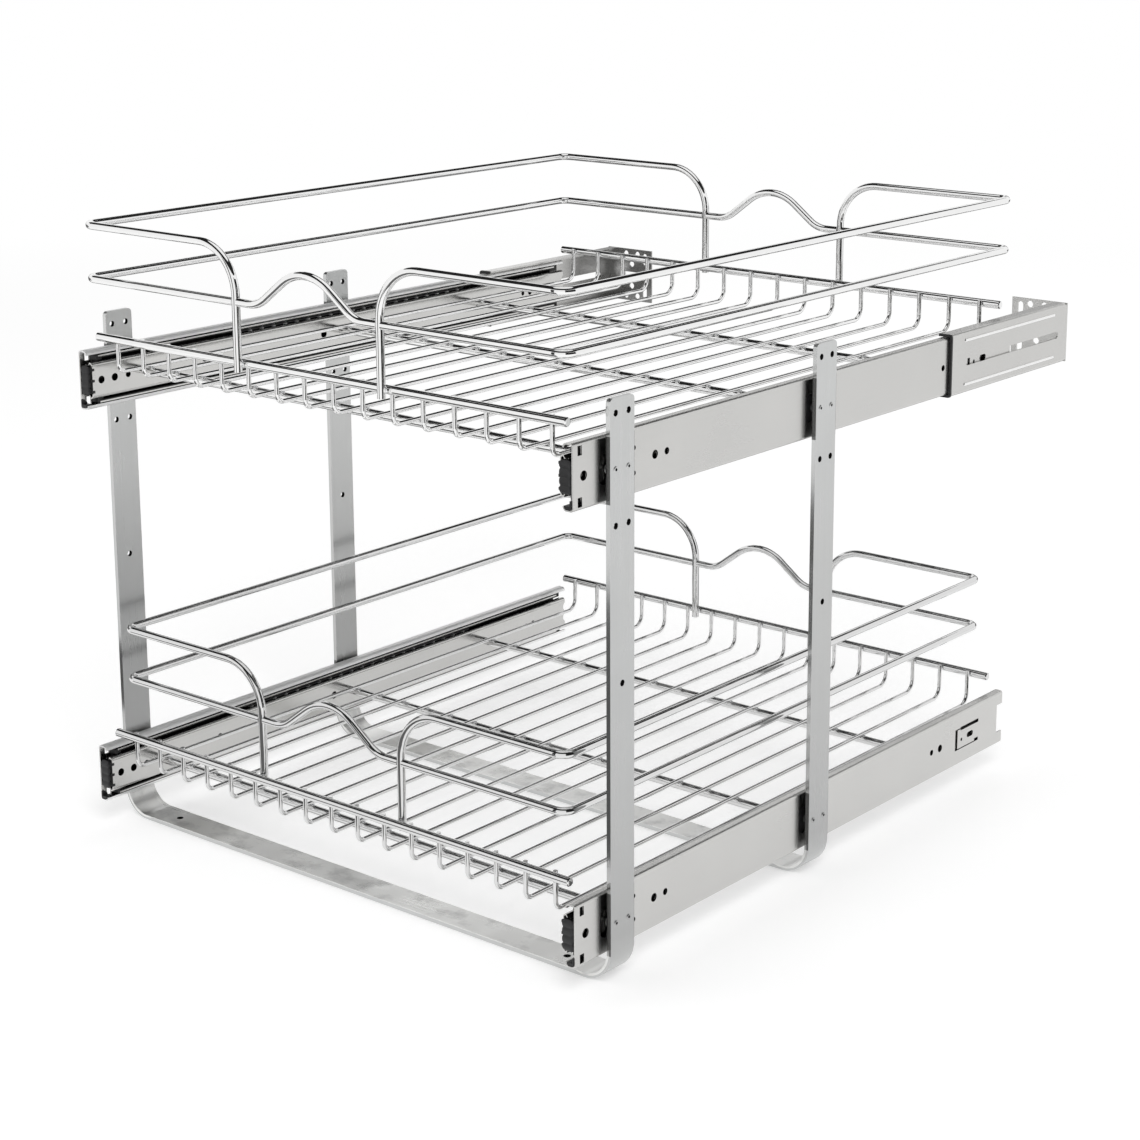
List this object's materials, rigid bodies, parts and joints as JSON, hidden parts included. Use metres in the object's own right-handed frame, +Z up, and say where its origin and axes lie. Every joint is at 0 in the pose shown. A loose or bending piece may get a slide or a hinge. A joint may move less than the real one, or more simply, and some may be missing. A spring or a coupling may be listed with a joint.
{
  "type": "pull out cabinet basket",
  "caption": "Two wire baskets one above the other, each pulling out on ball bearing slides from two U shaped floor straps, for a kitchen base cabinet.",
  "frame": {"origin": "centre of the bounding box on the cabinet floor", "axes": "+X across to the right, +Y from the front to the back of the cabinet, +Z up; the baskets pull out along -Y"},
  "size_m": [0.503, 0.6422, 0.4836],
  "materials": {
    "chrome_wire": "bright chrome plated wire",
    "strap_steel": "bright zinc plated strap",
    "slide_steel": "satin zinc plated sheet",
    "ball_steel": "polished steel balls",
    "cage_plastic": "black plastic ball cage",
    "black_plastic": "moulded black plastic",
    "grey_plastic": "moulded dark grey plastic"
  },
  "bodies": {
    "frame": {"front_strap": "strap_steel", "rear_strap": "strap_steel", "strap_rivets": "strap_steel", "slide_retainers": "black_plastic", "upper_left_outer_member": "slide_steel", "upper_right_outer_member": "slide_steel", "lower_left_outer_member": "slide_steel", "lower_right_outer_member": "slide_steel"},
    "upper_basket": {"upper_floor_wires": "chrome_wire", "upper_cross_rods": "chrome_wire", "upper_front_rod": "chrome_wire", "upper_rear_rod": "chrome_wire", "upper_side_rails": "chrome_wire", "upper_hump_wires": "chrome_wire", "upper_left_top_rail": "chrome_wire", "upper_right_top_rail": "chrome_wire", "upper_left_drawer_member": "slide_steel", "upper_left_cushion": "grey_plastic", "upper_right_drawer_member": "slide_steel", "upper_right_cushion": "grey_plastic"},
    "lower_basket": {"lower_floor_wires": "chrome_wire", "lower_cross_rods": "chrome_wire", "lower_front_rod": "chrome_wire", "lower_rear_rod": "chrome_wire", "lower_side_rails": "chrome_wire", "lower_hump_wires": "chrome_wire", "lower_left_top_rail": "chrome_wire", "lower_right_top_rail": "chrome_wire", "lower_left_drawer_member": "slide_steel", "lower_left_cushion": "grey_plastic", "lower_right_drawer_member": "slide_steel", "lower_right_cushion": "grey_plastic"},
    "upper_left_middle": {"upper_left_middle_member": "slide_steel", "upper_left_middle_stop": "black_plastic"},
    "upper_right_middle": {"upper_right_middle_member": "slide_steel", "upper_right_middle_stop": "black_plastic"},
    "lower_left_middle": {"lower_left_middle_member": "slide_steel", "lower_left_middle_stop": "black_plastic"},
    "lower_right_middle": {"lower_right_middle_member": "slide_steel", "lower_right_middle_stop": "black_plastic"},
    "upper_left_outer_ball_cage": {"upper_left_outer_cage": "cage_plastic", "upper_left_outer_balls": "ball_steel"},
    "upper_right_outer_ball_cage": {"upper_right_outer_cage": "cage_plastic", "upper_right_outer_balls": "ball_steel"},
    "lower_left_outer_ball_cage": {"lower_left_outer_cage": "cage_plastic", "lower_left_outer_balls": "ball_steel"},
    "lower_right_outer_ball_cage": {"lower_right_outer_cage": "cage_plastic", "lower_right_outer_balls": "ball_steel"},
    "upper_left_inner_ball_cage": {"upper_left_inner_cage": "cage_plastic", "upper_left_inner_balls": "ball_steel"},
    "upper_right_inner_ball_cage": {"upper_right_inner_cage": "cage_plastic", "upper_right_inner_balls": "ball_steel"},
    "lower_left_inner_ball_cage": {"lower_left_inner_cage": "cage_plastic", "lower_left_inner_balls": "ball_steel"},
    "lower_right_inner_ball_cage": {"lower_right_inner_cage": "cage_plastic", "lower_right_inner_balls": "ball_steel"},
    "left_bracket": {"left_rear_bracket": "slide_steel", "left_bracket_sleeve": "black_plastic"},
    "right_bracket": {"right_rear_bracket": "slide_steel", "right_bracket_sleeve": "black_plastic"}
  },
  "joints": [
    {"name": "upper_basket_slide", "type": "slide", "parent": "frame", "child": "upper_basket", "axis": [0, -1, 0], "range_m": [0, 0.53]},
    {"name": "lower_basket_slide", "type": "slide", "parent": "frame", "child": "lower_basket", "axis": [0, -1, 0], "range_m": [0, 0.53]},
    {"name": "upper_left_middle_slide", "type": "slide", "parent": "frame", "child": "upper_left_middle", "axis": [0, -1, 0], "range_m": [0, 0.2655]},
    {"name": "upper_left_outer_cage_slide", "type": "slide", "parent": "frame", "child": "upper_left_outer_ball_cage", "axis": [0, -1, 0], "range_m": [0, 0.133]},
    {"name": "upper_left_inner_cage_slide", "type": "slide", "parent": "frame", "child": "upper_left_inner_ball_cage", "axis": [0, -1, 0], "range_m": [0, 0.398]},
    {"name": "upper_right_middle_slide", "type": "slide", "parent": "frame", "child": "upper_right_middle", "axis": [0, -1, 0], "range_m": [0, 0.2655]},
    {"name": "upper_right_outer_cage_slide", "type": "slide", "parent": "frame", "child": "upper_right_outer_ball_cage", "axis": [0, -1, 0], "range_m": [0, 0.133]},
    {"name": "upper_right_inner_cage_slide", "type": "slide", "parent": "frame", "child": "upper_right_inner_ball_cage", "axis": [0, -1, 0], "range_m": [0, 0.398]},
    {"name": "lower_left_middle_slide", "type": "slide", "parent": "frame", "child": "lower_left_middle", "axis": [0, -1, 0], "range_m": [0, 0.2655]},
    {"name": "lower_left_outer_cage_slide", "type": "slide", "parent": "frame", "child": "lower_left_outer_ball_cage", "axis": [0, -1, 0], "range_m": [0, 0.133]},
    {"name": "lower_left_inner_cage_slide", "type": "slide", "parent": "frame", "child": "lower_left_inner_ball_cage", "axis": [0, -1, 0], "range_m": [0, 0.398]},
    {"name": "lower_right_middle_slide", "type": "slide", "parent": "frame", "child": "lower_right_middle", "axis": [0, -1, 0], "range_m": [0, 0.2655]},
    {"name": "lower_right_outer_cage_slide", "type": "slide", "parent": "frame", "child": "lower_right_outer_ball_cage", "axis": [0, -1, 0], "range_m": [0, 0.133]},
    {"name": "lower_right_inner_cage_slide", "type": "slide", "parent": "frame", "child": "lower_right_inner_ball_cage", "axis": [0, -1, 0], "range_m": [0, 0.398]},
    {"name": "left_bracket_adjust", "type": "slide", "parent": "frame", "child": "left_bracket", "axis": [0, 1, 0], "range_m": [-0.07, 0.03]},
    {"name": "right_bracket_adjust", "type": "slide", "parent": "frame", "child": "right_bracket", "axis": [0, 1, 0], "range_m": [-0.07, 0.03]}
  ],
  "couplings": [
    {"joint": "upper_left_middle_slide", "follows": "upper_basket_slide", "ratio": 0.5},
    {"joint": "upper_left_outer_cage_slide", "follows": "upper_basket_slide", "ratio": 0.25},
    {"joint": "upper_left_inner_cage_slide", "follows": "upper_basket_slide", "ratio": 0.75},
    {"joint": "upper_right_middle_slide", "follows": "upper_basket_slide", "ratio": 0.5},
    {"joint": "upper_right_outer_cage_slide", "follows": "upper_basket_slide", "ratio": 0.25},
    {"joint": "upper_right_inner_cage_slide", "follows": "upper_basket_slide", "ratio": 0.75},
    {"joint": "lower_left_middle_slide", "follows": "lower_basket_slide", "ratio": 0.5},
    {"joint": "lower_left_outer_cage_slide", "follows": "lower_basket_slide", "ratio": 0.25},
    {"joint": "lower_left_inner_cage_slide", "follows": "lower_basket_slide", "ratio": 0.75},
    {"joint": "lower_right_middle_slide", "follows": "lower_basket_slide", "ratio": 0.5},
    {"joint": "lower_right_outer_cage_slide", "follows": "lower_basket_slide", "ratio": 0.25},
    {"joint": "lower_right_inner_cage_slide", "follows": "lower_basket_slide", "ratio": 0.75}
  ]
}
